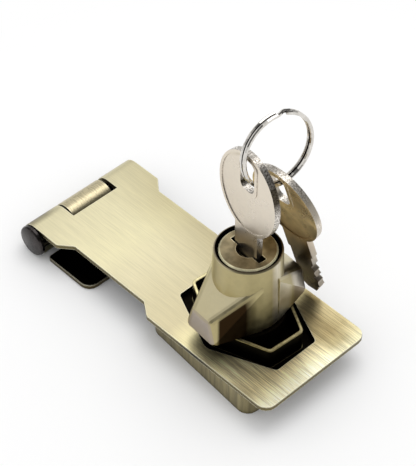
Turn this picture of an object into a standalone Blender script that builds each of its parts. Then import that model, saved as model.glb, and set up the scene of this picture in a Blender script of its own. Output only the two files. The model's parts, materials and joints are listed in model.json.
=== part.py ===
"""Keyed hasp lock: a pressed brass hasp, its folded hinge leaf, a raised lock base
and a winged knob with a wafer lock, two keys and a split ring.

Units are metres and +Z is up. The origin is on the knob's axis, on the surface
that the lock rests on. The hasp runs along X, and its hinge is at the -X end.
"""
import math

import bmesh
import bpy
from mathutils import Euler, Matrix, Vector

MM = 0.001

# Sheet, hinge and clearances
SHEET = 1.5 * MM
FIT = 0.3 * MM
KNUCKLE_R = 5.0 * MM
PIN_R = KNUCKLE_R - SHEET - FIT
PIN_HEAD_R = KNUCKLE_R - 0.1 * MM
PIN_HEAD_T = 1.6 * MM
PIN_HEAD_EDGE = 0.7 * MM
CURL_TURN = math.radians(230)
HASP_TOP = 2 * KNUCKLE_R

# Lock base, turned a little on its fixings
SKEW = math.radians(-4.5)
BASE_LENGTH = 42.6 * MM
BASE_WIDTH = 36.0 * MM
BASE_CORNER_R = 3.5 * MM
COVER_WALL = 1.4 * MM
COVER_EDGE_R = 1.2 * MM
BASE_HOLE_INSET = 5.0 * MM
BASE_HOLE_X = BASE_LENGTH / 2 - BASE_HOLE_INSET + 0.6 * MM
BASE_HOLE_Y = BASE_WIDTH / 2 - BASE_HOLE_INSET
BACK_PLATE = 1.3 * MM
PLATE_SCREW_R = 1.2 * MM
PLATE_SCREW_HEAD_R = 2.3 * MM
PLATE_SCREW_LENGTH = 4.8 * MM
PLATE_SCREW_INSET = 4.3 * MM
PLATE_SCREW_X = BASE_LENGTH / 2 - PLATE_SCREW_INSET
SCREW_HOLE_R = 2.1 * MM
SCREW_HEAD_R = 3.7 * MM

# Knob
KNOB_RISE = 23.1 * MM
RIM_R = 9.67 * MM
SKIRT_R = 10.4 * MM
RIM_WALL = 0.62 * MM
RIM_GROOVE_R = RIM_R - RIM_WALL
RIM_GROOVE_DEPTH = 2.6 * MM
STUB_R = 8.6 * MM
WING_REACH = 17.1 * MM
WING_TIP = 5.8 * MM
WING_TIP_TOP = 3.6 * MM
WING_TIP_RISE = 7.3 * MM
WING_TOP_SLOPE = 0.72
WING_SIDE_RISE = 15.8 * MM
WING_EDGE = 1.3 * MM

# Locking bolt, driven by a pin set off the plug's centre
BOLT_HEIGHT = 2.8 * MM
BOLT_WIDTH = 7.6 * MM
BOLT_NOSE_WIDTH = 5.0 * MM
BOLT_NOSE_LENGTH = 2.6 * MM
BOLT_NOSE_X = STUB_R - 0.4 * MM
BOLT_TAIL_X = 6.6 * MM
BOLT_Z = 8.2 * MM
CRANK = 1.4 * MM
CRANK_PIN_R = 0.9 * MM
CRANK_PLAY = 0.5 * MM

# Retaining ring and washer on the knob's stub
STUB_GROOVE_R = STUB_R - 0.8 * MM
RETAINER_R = STUB_R + 1.3 * MM
RETAINER_T = 0.8 * MM
RETAINER_MOUTH = math.radians(50)
WASHER_T = 0.5 * MM

# Die-cast housing under the cover, round the stub, the bolt's nose and the ring
HOUSING_BORE_R = STUB_R + FIT
RING_POCKET_R = RETAINER_R + 0.5 * MM
NOTCH_DEPTH_R = BOLT_NOSE_X + CRANK + 0.6 * MM
POST_WALL = 1.0 * MM
POST_R = NOTCH_DEPTH_R + POST_WALL

# Collar of the cover: its tips end flush with the wings, its long sides clear the post
COLLAR_WALL = 0.9 * MM
COLLAR_RISE = 6.7 * MM
COLLAR_HALF = WING_REACH
COLLAR_TIP = WING_TIP + 0.2 * MM
COLLAR_TIP_R = 1.6 * MM
COLLAR_MIDDLE_R = 4.0 * MM
COLLAR_PLAY = 0.4 * MM
THROAT_HALF = COLLAR_HALF - COLLAR_WALL
THROAT_TIP = COLLAR_TIP - COLLAR_WALL / 2
THROAT_REACH = math.hypot(THROAT_HALF, THROAT_TIP)
THROAT_LEAN = math.atan2(THROAT_HALF, THROAT_TIP)
THROAT_LEAN -= math.acos((POST_R + COLLAR_PLAY) / THROAT_REACH)
THROAT_MIDDLE = (POST_R + COLLAR_PLAY) / math.cos(THROAT_LEAN)
COLLAR_MIDDLE = THROAT_MIDDLE + COLLAR_WALL

# Hasp plate, seen from above, with x from the hinge pin; its cut-out clears the collar
HINGE_TO_KNOB = 68.8 * MM
HINGE_WIDTH = 40.4 * MM
WAIST_WIDTH = 33.5 * MM
LOCK_INSET = 0.2 * MM
LOCK_WIDTH = HINGE_WIDTH - 2 * LOCK_INSET
CUTOUT_PLAY = 2.3 * MM
CUTOUT_HALF = COLLAR_HALF + CUTOUT_PLAY
CUTOUT_TIP = COLLAR_TIP + 1.6 * MM
CUTOUT_MIDDLE = COLLAR_MIDDLE + 2.5 * MM
CUTOUT_TIP_R = 1.2 * MM
CUTOUT_MIDDLE_R = 4.0 * MM
END_MARGIN = 8.2 * MM
HASP_END = HINGE_TO_KNOB + CUTOUT_HALF + END_MARGIN
SHOULDER_X = 10.1 * MM
SHOULDER_RUN = 4.2 * MM
WAIST_RUN = 4.7 * MM
WAIST_END = HINGE_TO_KNOB - CUTOUT_HALF - WAIST_RUN - 0.5 * MM
HASP_FILLET = 0.8 * MM
HASP_CORNER_R = 3.4 * MM
NOTCH_WIDTH = 17.2 * MM
NOTCH_PLAY = 0.62 * MM
NOTCH_X = math.sqrt((KNUCKLE_R + NOTCH_PLAY) ** 2 - (KNUCKLE_R - SHEET) ** 2)

# Hinge leaf, also with x from the pin; it starts clear of the hasp's knuckles
LEAF_END = 23.8 * MM
LEAF_PLAY = 0.5 * MM
KNUCKLE_GAP = 0.6 * MM
KNUCKLE_FAR_GAP = 1.3 * MM
LEAF_START = KNUCKLE_R + LEAF_PLAY
LEAF_CORNER_R = 3.4 * MM
LEAF_INNER_CORNER_R = 1.0 * MM
LEAF_HOLE_X = 13.5 * MM
LEAF_HOLE_INSET = 11.8 * MM
LEAF_HOLE_Y = HINGE_WIDTH / 2 - LEAF_HOLE_INSET
LEAF_MIDDLE_HOLE_X = 17.8 * MM

# Plug, wafers and clip
PLUG_HEAD_R = 8.25 * MM
PLUG_HEAD_T = 3.7 * MM
PLUG_EDGE = 0.45 * MM
PLUG_R = 6.5 * MM
PLUG_FOOT_R = PLUG_R - 0.9 * MM
PLUG_FOOT_GAP = 2.6 * MM
SHUTTER_R = 3.4 * MM
SHUTTER_DEPTH = 2.2 * MM
SLIT_WIDTH = 12.0 * MM
WAFER_COUNT = 5
WAFER_PITCH = 2.4 * MM
WAFER_T = 0.9 * MM
WAFER_WIDTH = 5.2 * MM
WAFER_LENGTH = 2 * (PLUG_R - 0.4 * MM)
WAFER_EAR = 1.2 * MM
SPRING_LENGTH = 3.4 * MM
SPRING_R = 0.55 * MM
SPRING_WIRE_R = 0.11 * MM
SPRING_TURNS = 5
CLIP_T = 0.9 * MM
CLIP_MOUTH = math.radians(70)
CLIP_R = PLUG_R + 0.6 * MM
CLIP_BORE_R = CLIP_R + 0.4 * MM

# Keys: a flat oval bow, a neck and a bitted blade
KEY_T = 2.0 * MM
BOW_HALF_WIDTH = 11.4 * MM
BOW_HALF_HEIGHT = 13.9 * MM
BOW_BORDER = 0.9 * MM
BOW_RECESS = 0.25 * MM
NECK_WIDTH = 9.3 * MM
BLADE_WIDTH = 7.8 * MM
BLADE_LENGTH = 17.45 * MM
KEY_SEAT = 20.95 * MM
BLADE_REACH = KEY_SEAT + BLADE_LENGTH
KEY_SLOT_WIDTH = 5.6 * MM
KEY_SLOT_TOP = 12.0 * MM
KEY_SLOT_LENGTH = 10.6 * MM
KEY_SLOT_R = 2.0 * MM
BIT_DEPTHS = (1.1 * MM, 0.5 * MM, 1.5 * MM, 0.8 * MM, 1.2 * MM)
KEY_YAW = math.radians(-5.5)

# Split ring and spare key, placed from the middle of the key's bow
RING_R = 10.9 * MM
RING_WIRE_R = 0.56 * MM
RING_PITCH = 2 * RING_WIRE_R + 0.12 * MM
RING_OFFSET = Vector((1.34 * MM, 8.4 * MM, 11.02 * MM))
RING_PITCH_ANGLE = math.radians(-7.4)
RING_YAW = math.radians(-8.54)
RING_CROSSING = math.radians(8)
RING_KINK = math.radians(80)
SPARE_OFFSET = Vector((2.73 * MM, 11.6 * MM, -9.71 * MM))
SPARE_LEAN = math.radians(14.2)
SPARE_ROLL = math.radians(-5.6)

# Heights that follow from the sizes above
COVER_TOP = HASP_TOP - SHEET - FIT
COLLAR_TOP = COVER_TOP + COLLAR_RISE
KNOB_BOTTOM = COLLAR_TOP + FIT
KNOB_TOP = KNOB_BOTTOM + KNOB_RISE
POST_TOP = KNOB_BOTTOM - 2 * FIT
HOUSING_BOTTOM = BACK_PLATE + FIT
HOUSING_SLAB_TOP = COVER_TOP - COVER_WALL - FIT
STUB_BOTTOM = HOUSING_BOTTOM + FIT
STUB_GROOVE_LOW = STUB_BOTTOM + FIT
STUB_GROOVE_TOP = STUB_GROOVE_LOW + 2 * RETAINER_T
RETAINER_LOW = STUB_GROOVE_LOW + RETAINER_T / 2
WASHER_LOW = RETAINER_LOW + RETAINER_T + FIT
RING_POCKET_TOP = WASHER_LOW + WASHER_T + 0.2 * MM
BOLT_TOP = BOLT_Z + BOLT_HEIGHT
PLUG_FACE = KNOB_TOP - FIT
PLUG_BOTTOM = BOLT_TOP + PLUG_FOOT_GAP
PLUG_SHOULDER = PLUG_FACE - PLUG_HEAD_T
KEY_CENTRE_Z = PLUG_FACE + KEY_SEAT
BLADE_TIP_Z = KEY_CENTRE_Z - BLADE_REACH
FIRST_WAFER_Z = BLADE_TIP_Z + WAFER_PITCH
CLIP_Z = PLUG_BOTTOM + 1.0 * MM
RING_CENTRE = Vector((0, 0, KEY_CENTRE_Z)) + RING_OFFSET
SPARE_CENTRE = Vector((0, 0, KEY_CENTRE_Z)) + SPARE_OFFSET

ROUND_STEPS = 48
SMALL_STEPS = 24
KNOB_PLACE = Matrix.Rotation(SKEW, 4, "Z")
HINGE_PLACE = Matrix.Translation((-HINGE_TO_KNOB, 0, KNUCKLE_R))


def clear_objects():
    for old in list(bpy.data.objects):
        bpy.data.objects.remove(old, do_unlink=True)


def new_collection(name):
    group = bpy.data.collections.new(name)
    bpy.context.scene.collection.children.link(group)
    return group


def metal(name, colour, roughness):
    """A plain metal of one colour, given as linear red, green and blue."""
    material = bpy.data.materials.new(name)
    material.use_nodes = True
    shader = material.node_tree.nodes["Principled BSDF"]
    shader.inputs["Base Color"].default_value = (*colour, 1)
    shader.inputs["Metallic"].default_value = 1
    shader.inputs["Roughness"].default_value = roughness
    return material


def put(mesh, name, group, place=None):
    item = bpy.data.objects.new(name, mesh)
    item.matrix_world = place or Matrix.Identity(4)
    group.objects.link(item)
    return item


def as_cutter(item):
    """Hide a shape that only cuts, joins or trims another."""
    for group in list(item.users_collection):
        group.objects.unlink(item)
    CUTTERS.objects.link(item)
    item.hide_render = True
    item.display_type = "WIRE"
    return item


def combine(target, tool, operation):
    modifier = target.modifiers.new(operation.title(), "BOOLEAN")
    modifier.object = as_cutter(tool)
    modifier.operation = operation
    modifier.solver = "EXACT"


def smooth_round(item, angle=35):
    item.data.shade_smooth()
    item.data.set_sharp_from_angle(angle=math.radians(angle))


def arc(centre, radius, start, end, steps):
    """Points on an arc, from angle start to angle end in radians."""
    turn = (end - start) / steps
    return [
        (
            centre[0] + radius * math.cos(start + turn * i),
            centre[1] + radius * math.sin(start + turn * i),
        )
        for i in range(steps + 1)
    ]


def rounded(corners, steps=4):
    """A closed outline through (x, y, radius) corners, each one rounded by its radius."""
    points = []
    count = len(corners)
    for i, (x, y, radius) in enumerate(corners):
        here = Vector((x, y))
        if radius <= 0:
            points.append((x, y))
            continue
        before = (Vector(corners[i - 1][:2]) - here).normalized()
        after = (Vector(corners[(i + 1) % count][:2]) - here).normalized()
        half = before.angle(after) / 2
        centre = here + (before + after).normalized() * radius / math.sin(half)
        first = here + before * radius / math.tan(half) - centre
        last = here + after * radius / math.tan(half) - centre
        sweep = first.angle_signed(last)
        for k in range(steps + 1):
            spoke = first.copy()
            spoke.rotate(Matrix.Rotation(-sweep * k / steps, 2))
            points.append(tuple(centre + spoke))
    return points


def both_sides(corners):
    """Mirror a run of (x, y, radius) corners over the X axis to close the outline."""
    return corners + [(x, -y, r) for x, y, r in reversed(corners)]


def hexagon(half, tip, middle, tip_r, middle_r):
    """The long six-sided outline shared by the cut-out and the collar."""
    corners = [
        (-half, tip, tip_r),
        (0, middle, middle_r),
        (half, tip, tip_r),
    ]
    return rounded(both_sides(corners))


def prism(name, outlines, low, high, group, place=None):
    """Extrude flat outlines along local Z from low to high; inner outlines are holes."""
    curve = bpy.data.curves.new(name, "CURVE")
    curve.dimensions = "2D"
    curve.fill_mode = "BOTH"
    curve.extrude = (high - low) / 2
    for outline in outlines:
        spline = curve.splines.new("POLY")
        spline.points.add(len(outline) - 1)
        for point, (x, y) in zip(spline.points, outline):
            point.co = (x, y, 0, 1)
        spline.use_cyclic_u = True
    sketch = bpy.data.objects.new(name + "_sketch", curve)
    bpy.context.scene.collection.objects.link(sketch)
    bpy.context.view_layer.update()
    graph = bpy.context.evaluated_depsgraph_get()
    mesh = bpy.data.meshes.new_from_object(sketch.evaluated_get(graph))
    bpy.data.objects.remove(sketch, do_unlink=True)
    shape = bmesh.new()
    shape.from_mesh(mesh)
    bmesh.ops.remove_doubles(shape, verts=shape.verts, dist=1e-6)
    bmesh.ops.recalc_face_normals(shape, faces=shape.faces)
    bmesh.ops.translate(shape, verts=shape.verts, vec=(0, 0, (low + high) / 2))
    shape.to_mesh(mesh)
    shape.free()
    mesh.name = name
    return put(mesh, name, group, place)


def turned(name, profile, group, place=None, steps=ROUND_STEPS):
    """Spin a closed (radius, height) profile about local Z.

    The profile runs down its outer side. A profile that starts and ends on the
    axis makes a solid piece, and any other makes a ring.
    """
    mesh = bpy.data.meshes.new(name)
    points = [(r, 0, z) for r, z in profile]
    edges = [(i, i + 1) for i in range(len(points) - 1)]
    if profile[0][0] > 0 or profile[-1][0] > 0:
        edges.append((len(points) - 1, 0))
    mesh.from_pydata(points, edges, [])
    item = put(mesh, name, group, place)
    spin = item.modifiers.new("Turn", "SCREW")
    spin.steps = steps
    spin.render_steps = steps
    spin.use_merge_vertices = True
    spin.merge_threshold = 1e-6
    return item


def disc(name, radius, low, high, group, place=None, steps=ROUND_STEPS):
    return turned(name, [(0, high), (radius, high), (radius, low), (0, low)], group, place, steps)


def block(name, low, high, group, place=None):
    """A box between two opposite corners."""
    mesh = bpy.data.meshes.new(name)
    shape = bmesh.new()
    bmesh.ops.create_cube(shape, size=1)
    size = Vector(high) - Vector(low)
    bmesh.ops.scale(shape, verts=shape.verts, vec=size)
    bmesh.ops.translate(shape, verts=shape.verts, vec=(Vector(high) + Vector(low)) / 2)
    shape.to_mesh(mesh)
    shape.free()
    return put(mesh, name, group, place)


def rounded_block(length, width, radius):
    x, y = length / 2, width / 2
    return rounded([(-x, y, radius), (x, y, radius), (x, -y, radius), (-x, -y, radius)])


def paint(item, material):
    item.data.materials.clear()
    item.data.materials.append(material)


def upright():
    """Stand a sketch up: its X stays, its Y becomes Z."""
    return Matrix.Rotation(math.radians(90), 4, "X")


def screw_hole_cutter(name, low, high, place):
    """A drilled and countersunk hole, its cone opening at the height high."""
    cone = SCREW_HEAD_R - SCREW_HOLE_R
    profile = [
        (0, high + FIT),
        (SCREW_HEAD_R + FIT, high + FIT),
        (SCREW_HOLE_R, high - cone),
        (SCREW_HOLE_R, low - FIT),
        (0, low - FIT),
    ]
    return turned(name, profile, CUTTERS, place, SMALL_STEPS)


def hasp_strap():
    """The hasp: one strip curled round the pin at its hinge end, then cut to its outline."""
    top = KNUCKLE_R
    centre = (0, 0)
    start = math.radians(90)
    end = start + CURL_TURN
    inner = KNUCKLE_R - SHEET
    past_end = HASP_END + 2 * SHEET
    section = [(past_end, top)]
    section += arc(centre, KNUCKLE_R, start, end, 22)
    section += arc(centre, inner, end, start, 22)
    section += [(past_end, top - SHEET)]
    place = HINGE_PLACE @ upright()
    strap = prism("hasp_strap", [section], -HINGE_WIDTH, HINGE_WIDTH, PARTS, place)

    shoulder = SHOULDER_X + SHOULDER_RUN
    lock_start = WAIST_END + WAIST_RUN
    curl_x = -2 * KNUCKLE_R
    half_notch = NOTCH_WIDTH / 2
    fillet = HASP_FILLET
    outline = rounded(
        both_sides(
            [
                (NOTCH_X, half_notch, 0),
                (curl_x, half_notch, 0),
                (curl_x, HINGE_WIDTH / 2, 0),
                (SHOULDER_X, HINGE_WIDTH / 2, fillet),
                (shoulder, WAIST_WIDTH / 2, fillet),
                (WAIST_END, WAIST_WIDTH / 2, fillet),
                (lock_start, LOCK_WIDTH / 2, 2 * fillet),
                (HASP_END, LOCK_WIDTH / 2, HASP_CORNER_R),
            ]
        )
    )
    cutout = [
        (x + HINGE_TO_KNOB, y)
        for x, y in hexagon(
            CUTOUT_HALF, CUTOUT_TIP, CUTOUT_MIDDLE, CUTOUT_TIP_R, CUTOUT_MIDDLE_R
        )
    ]
    plan = prism("hasp_plan", [outline, cutout], -HASP_TOP, HASP_TOP, PARTS, HINGE_PLACE)
    combine(strap, plan, "INTERSECT")
    paint(strap, BRASS)
    smooth_round(strap)


def hinge_leaf():
    """The leaf folds flat under the hasp, and its one knuckle fills the hasp's notch."""
    floor = -KNUCKLE_R
    centre = (0, 0)
    start = math.radians(-90)
    end = start - CURL_TURN - math.radians(30)
    inner = KNUCKLE_R - SHEET
    past_end = LEAF_END + 2 * SHEET
    section = [(past_end, floor)]
    section += arc(centre, KNUCKLE_R, start, end, 24)
    section += arc(centre, inner, end, start, 24)
    section += [(past_end, floor + SHEET)]
    place = HINGE_PLACE @ upright()
    leaf = prism("hinge_leaf", [section], -HINGE_WIDTH, HINGE_WIDTH, PARTS, place)

    near = KNUCKLE_GAP - NOTCH_WIDTH / 2
    far = NOTCH_WIDTH / 2 - KNUCKLE_FAR_GAP
    edge = HINGE_WIDTH / 2
    outline = rounded(
        [
            (-2 * KNUCKLE_R, far, 0),
            (LEAF_START, far, 0),
            (LEAF_START, edge, LEAF_INNER_CORNER_R),
            (LEAF_END, edge, LEAF_CORNER_R),
            (LEAF_END, -edge, LEAF_CORNER_R),
            (LEAF_START, -edge, LEAF_INNER_CORNER_R),
            (LEAF_START, near, 0),
            (-2 * KNUCKLE_R, near, 0),
        ]
    )
    plan = prism("leaf_plan", [outline], -HASP_TOP, HASP_TOP, PARTS, HINGE_PLACE)
    combine(leaf, plan, "INTERSECT")
    spots = [
        (LEAF_HOLE_X, LEAF_HOLE_Y),
        (LEAF_HOLE_X, -LEAF_HOLE_Y),
        (LEAF_MIDDLE_HOLE_X, 0),
    ]
    for i, (x, y) in enumerate(spots):
        spot = HINGE_PLACE @ Matrix.Translation((x, y, floor))
        combine(leaf, screw_hole_cutter(f"leaf_hole_{i}", 0, SHEET, spot), "DIFFERENCE")
    paint(leaf, BRASS)
    smooth_round(leaf)


def hinge_pin():
    """A headed pin, its head outside the near knuckle and its foot inside the far one."""
    head_back = HINGE_WIDTH / 2 + FIT
    head_face = head_back + PIN_HEAD_T
    foot = -HINGE_WIDTH / 2 + FIT
    chamfer = 0.4 * MM
    profile = [
        (0, head_face),
        (PIN_HEAD_R - PIN_HEAD_EDGE, head_face),
        (PIN_HEAD_R - 0.3 * PIN_HEAD_EDGE, head_face - 0.3 * PIN_HEAD_EDGE),
        (PIN_HEAD_R, head_face - PIN_HEAD_EDGE),
        (PIN_HEAD_R, head_back),
        (PIN_R, head_back),
        (PIN_R, foot + chamfer),
        (PIN_R - chamfer, foot),
        (0, foot),
    ]
    pin = turned("hinge_pin", profile, PARTS, HINGE_PLACE @ upright())
    paint(pin, GUNMETAL)
    smooth_round(pin)


def base_cover():
    """The pressed cover: a shallow box with a thin six-sided collar round the knob's foot."""
    outline = rounded_block(BASE_LENGTH, BASE_WIDTH, BASE_CORNER_R)
    cover = prism("base_cover", [outline], 0, COVER_TOP, PARTS, KNOB_PLACE)
    rim = cover.modifiers.new("Soft edge", "BEVEL")
    rim.width = COVER_EDGE_R
    rim.segments = 3
    rim.limit_method = "WEIGHT"
    weights = cover.data.attributes.new("bevel_weight_edge", "FLOAT", "EDGE")
    for edge in cover.data.edges:
        ends = [cover.data.vertices[v].co.z for v in edge.vertices]
        weights.data[edge.index].value = 1 if min(ends) > COVER_TOP / 2 else 0

    outer = hexagon(COLLAR_HALF, COLLAR_TIP, COLLAR_MIDDLE, COLLAR_TIP_R, COLLAR_MIDDLE_R)
    collar = prism("collar", [outer], COVER_TOP / 2, COLLAR_TOP, PARTS, KNOB_PLACE)
    combine(cover, collar, "UNION")
    hollow = prism(
        "cover_hollow",
        [
            rounded_block(
                BASE_LENGTH - 2 * COVER_WALL,
                BASE_WIDTH - 2 * COVER_WALL,
                BASE_CORNER_R - COVER_WALL,
            )
        ],
        -COVER_WALL,
        COVER_TOP - COVER_WALL,
        PARTS,
        KNOB_PLACE,
    )
    combine(cover, hollow, "DIFFERENCE")
    inner = hexagon(
        THROAT_HALF,
        THROAT_TIP,
        THROAT_MIDDLE,
        COLLAR_TIP_R - COLLAR_WALL + FIT,
        COLLAR_MIDDLE_R - COLLAR_WALL,
    )
    throat = prism("collar_throat", [inner], 0, COLLAR_TOP + FIT, PARTS, KNOB_PLACE)
    combine(cover, throat, "DIFFERENCE")
    for i, (x, y) in enumerate(base_hole_spots()):
        spot = KNOB_PLACE @ Matrix.Translation((x, y, 0))
        hole = disc(f"cover_hole_{i}", SCREW_HOLE_R, 0, HASP_TOP, CUTTERS, spot, SMALL_STEPS)
        combine(cover, hole, "DIFFERENCE")
    paint(cover, BRASS)
    smooth_round(cover)


def base_hole_spots():
    """The four fixing screws of the base go through cover, housing and back plate."""
    return [(sx * BASE_HOLE_X, sy * BASE_HOLE_Y) for sx in (-1, 1) for sy in (-1, 1)]


def plate_screw_spots():
    return [(-PLATE_SCREW_X, 0), (PLATE_SCREW_X, 0)]


def lock_housing():
    """The die-cast housing: a slab that fills the cover, and the post that the knob turns in."""
    inset = COVER_WALL + FIT
    slab = rounded_block(
        BASE_LENGTH - 2 * inset, BASE_WIDTH - 2 * inset, BASE_CORNER_R - COVER_WALL
    )
    housing = prism(
        "lock_housing", [slab], HOUSING_BOTTOM, HOUSING_SLAB_TOP, PARTS, KNOB_PLACE
    )
    post = disc("post", POST_R, HOUSING_BOTTOM + FIT, POST_TOP, CUTTERS, KNOB_PLACE)
    combine(housing, post, "UNION")
    bore = turned(
        "housing_bore",
        [
            (0, POST_TOP + FIT),
            (HOUSING_BORE_R, POST_TOP + FIT),
            (HOUSING_BORE_R, RING_POCKET_TOP),
            (RING_POCKET_R, RING_POCKET_TOP),
            (RING_POCKET_R, 0),
            (0, 0),
        ],
        CUTTERS,
        KNOB_PLACE,
    )
    combine(housing, bore, "DIFFERENCE")
    reach = BOLT_NOSE_WIDTH / 2 + FIT
    for name, angle in (("shut", 0), ("open", 90)):
        turn = KNOB_PLACE @ Matrix.Rotation(math.radians(angle), 4, "Z")
        pocket = block(
            f"bolt_pocket_{name}",
            (STUB_R - FIT, -reach, BOLT_Z - FIT),
            (NOTCH_DEPTH_R, reach, BOLT_TOP + FIT),
            CUTTERS,
            turn,
        )
        combine(housing, pocket, "DIFFERENCE")
    holes = [(x, y, SCREW_HOLE_R) for x, y in base_hole_spots()]
    holes += [(x, y, PLATE_SCREW_R + FIT) for x, y in plate_screw_spots()]
    for i, (x, y, radius) in enumerate(holes):
        spot = KNOB_PLACE @ Matrix.Translation((x, y, 0))
        hole = disc(f"housing_hole_{i}", radius, 0, HASP_TOP, CUTTERS, spot, SMALL_STEPS)
        combine(housing, hole, "DIFFERENCE")
    paint(housing, ZINC)
    smooth_round(housing)


def back_plate():
    """A flat steel plate closes the base, and it is what sits on the door frame."""
    inset = COVER_WALL + FIT
    outline = rounded_block(
        BASE_LENGTH - 2 * inset, BASE_WIDTH - 2 * inset, BASE_CORNER_R - COVER_WALL
    )
    plate = prism("back_plate", [outline], 0, BACK_PLATE, PARTS, KNOB_PLACE)
    for i, (x, y) in enumerate(base_hole_spots()):
        spot = KNOB_PLACE @ Matrix.Translation((x, y, 0))
        hole = disc(f"plate_hole_{i}", SCREW_HOLE_R, -FIT, 2 * BACK_PLATE, CUTTERS, spot, SMALL_STEPS)
        combine(plate, hole, "DIFFERENCE")
    for i, (x, y) in enumerate(plate_screw_spots()):
        spot = KNOB_PLACE @ Matrix.Translation((x, y, 0))
        seat = turned(
            f"plate_seat_{i}",
            [
                (0, BACK_PLATE + FIT),
                (PLATE_SCREW_R + FIT, BACK_PLATE + FIT),
                (PLATE_SCREW_R + FIT, PLATE_SCREW_HEAD_R - PLATE_SCREW_R),
                (PLATE_SCREW_HEAD_R + 2 * FIT, -FIT),
                (0, -FIT),
            ],
            CUTTERS,
            spot,
            SMALL_STEPS,
        )
        combine(plate, seat, "DIFFERENCE")
    paint(plate, STEEL)
    smooth_round(plate)

    for i, (x, y) in enumerate(plate_screw_spots()):
        spot = KNOB_PLACE @ Matrix.Translation((x, y, 0))
        low = 0.15 * MM
        screw = turned(
            f"back_plate_screw_{i + 1}",
            [
                (0, low + PLATE_SCREW_LENGTH),
                (PLATE_SCREW_R, low + PLATE_SCREW_LENGTH),
                (PLATE_SCREW_R, low + PLATE_SCREW_HEAD_R - PLATE_SCREW_R),
                (PLATE_SCREW_HEAD_R, low),
                (0, low),
            ],
            PARTS,
            spot,
            SMALL_STEPS,
        )
        slot = block(
            f"screw_slot_{i}",
            (-2 * PLATE_SCREW_HEAD_R, -0.25 * MM, -FIT),
            (2 * PLATE_SCREW_HEAD_R, 0.25 * MM, low + 0.5 * MM),
            CUTTERS,
            spot,
        )
        combine(screw, slot, "DIFFERENCE")
        paint(screw, STEEL)
        smooth_round(screw)


def wing(name, place):
    """One wing: a flat end, a slanted shoulder on each side and a top that falls outwards.

    Its side starts where it is tangent to the skirt of the barrel.
    """
    low = KNOB_BOTTOM
    tip = Vector((WING_TIP, WING_REACH))
    lean = math.atan2(tip.x, tip.y) + math.acos(SKIRT_R / tip.length)
    root = Vector((math.sin(lean), math.cos(lean))) * SKIRT_R
    end_top = low + WING_TIP_RISE
    root_top = end_top + WING_TOP_SLOPE * (WING_REACH - root.y)
    foot = Vector((tip.x, tip.y, low))
    end = Vector((WING_TIP_TOP, WING_REACH, end_top))
    side_top = Vector((root.x, root.y, low + WING_SIDE_RISE))
    shoulder = (end - foot).cross(side_top - foot)
    across = foot.x * shoulder.x - shoulder.y * (root.y - foot.y) - shoulder.z * (root_top - foot.z)
    crest = Vector((across / shoulder.x, root.y, root_top))
    side_foot = Vector((root.x, root.y, low))

    shape = bmesh.new()
    right = [shape.verts.new(p) for p in (foot, end, side_foot, side_top, crest)]
    left = [shape.verts.new((-p.co.x, p.co.y, p.co.z)) for p in right]
    shape.faces.new((right[0], left[0], left[2], right[2]))
    shape.faces.new((right[0], right[1], left[1], left[0]))
    shape.faces.new((right[1], right[4], left[4], left[1]))
    shape.faces.new((right[2], right[3], right[4], left[4], left[3], left[2]))
    for a, b, c, d, e in (right, left):
        shape.faces.new((a, c, d))
        shape.faces.new((a, d, e, b))
    bmesh.ops.recalc_face_normals(shape, faces=shape.faces)
    ends = [(right[0], right[1]), (left[0], left[1]), (right[1], left[1])]
    crests = [(right[1], right[4]), (left[1], left[4])]
    bmesh.ops.bevel(
        shape,
        geom=[shape.edges.get(pair) for pair in ends + crests],
        offset=WING_EDGE,
        segments=3,
        profile=0.5,
        affect="EDGES",
        clamp_overlap=False,
        material=-1,
    )
    mesh = bpy.data.meshes.new(name)
    shape.to_mesh(mesh)
    shape.free()
    return put(mesh, name, CUTTERS, place)


def knob():
    """The cast knob: a slightly tapered barrel, two wings, and a stub that turns in the post."""
    chamfer = 0.35 * MM
    barrel = turned(
        "knob",
        [
            (0, KNOB_TOP),
            (RIM_R - chamfer, KNOB_TOP),
            (RIM_R, KNOB_TOP - chamfer),
            (SKIRT_R, KNOB_BOTTOM + chamfer),
            (SKIRT_R - chamfer, KNOB_BOTTOM),
            (STUB_R, KNOB_BOTTOM),
            (STUB_R, STUB_GROOVE_TOP),
            (STUB_GROOVE_R, STUB_GROOVE_TOP),
            (STUB_GROOVE_R, STUB_GROOVE_LOW),
            (STUB_R, STUB_GROOVE_LOW),
            (STUB_R, STUB_BOTTOM),
            (0, STUB_BOTTOM),
        ],
        PARTS,
        KNOB_PLACE,
    )
    combine(barrel, wing("near_wing", KNOB_PLACE @ Matrix.Rotation(math.pi, 4, "Z")), "UNION")
    combine(barrel, wing("far_wing", KNOB_PLACE), "UNION")
    clip_shoulder = CLIP_Z + CLIP_T + FIT
    bore = turned(
        "knob_bore",
        [
            (0, KNOB_TOP + FIT),
            (RIM_GROOVE_R, KNOB_TOP + FIT),
            (RIM_GROOVE_R, KNOB_TOP - RIM_GROOVE_DEPTH),
            (PLUG_HEAD_R + FIT, KNOB_TOP - RIM_GROOVE_DEPTH),
            (PLUG_HEAD_R + FIT, PLUG_SHOULDER - FIT),
            (PLUG_R + FIT, PLUG_SHOULDER - FIT),
            (PLUG_R + FIT, clip_shoulder),
            (CLIP_BORE_R, clip_shoulder),
            (CLIP_BORE_R, BOLT_TOP - FIT),
            (PLUG_FOOT_R, BOLT_TOP - FIT),
            (PLUG_FOOT_R, 0),
            (0, 0),
        ],
        CUTTERS,
        KNOB_PLACE,
    )
    combine(barrel, bore, "DIFFERENCE")
    side = BOLT_WIDTH / 2 + FIT
    channel = block(
        "bolt_channel",
        (-STUB_R - FIT, -side, BOLT_Z - FIT),
        (STUB_R + FIT, side, BOLT_TOP + FIT),
        CUTTERS,
        KNOB_PLACE,
    )
    combine(barrel, channel, "DIFFERENCE")
    paint(barrel, BRASS)
    smooth_round(barrel)


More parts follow.
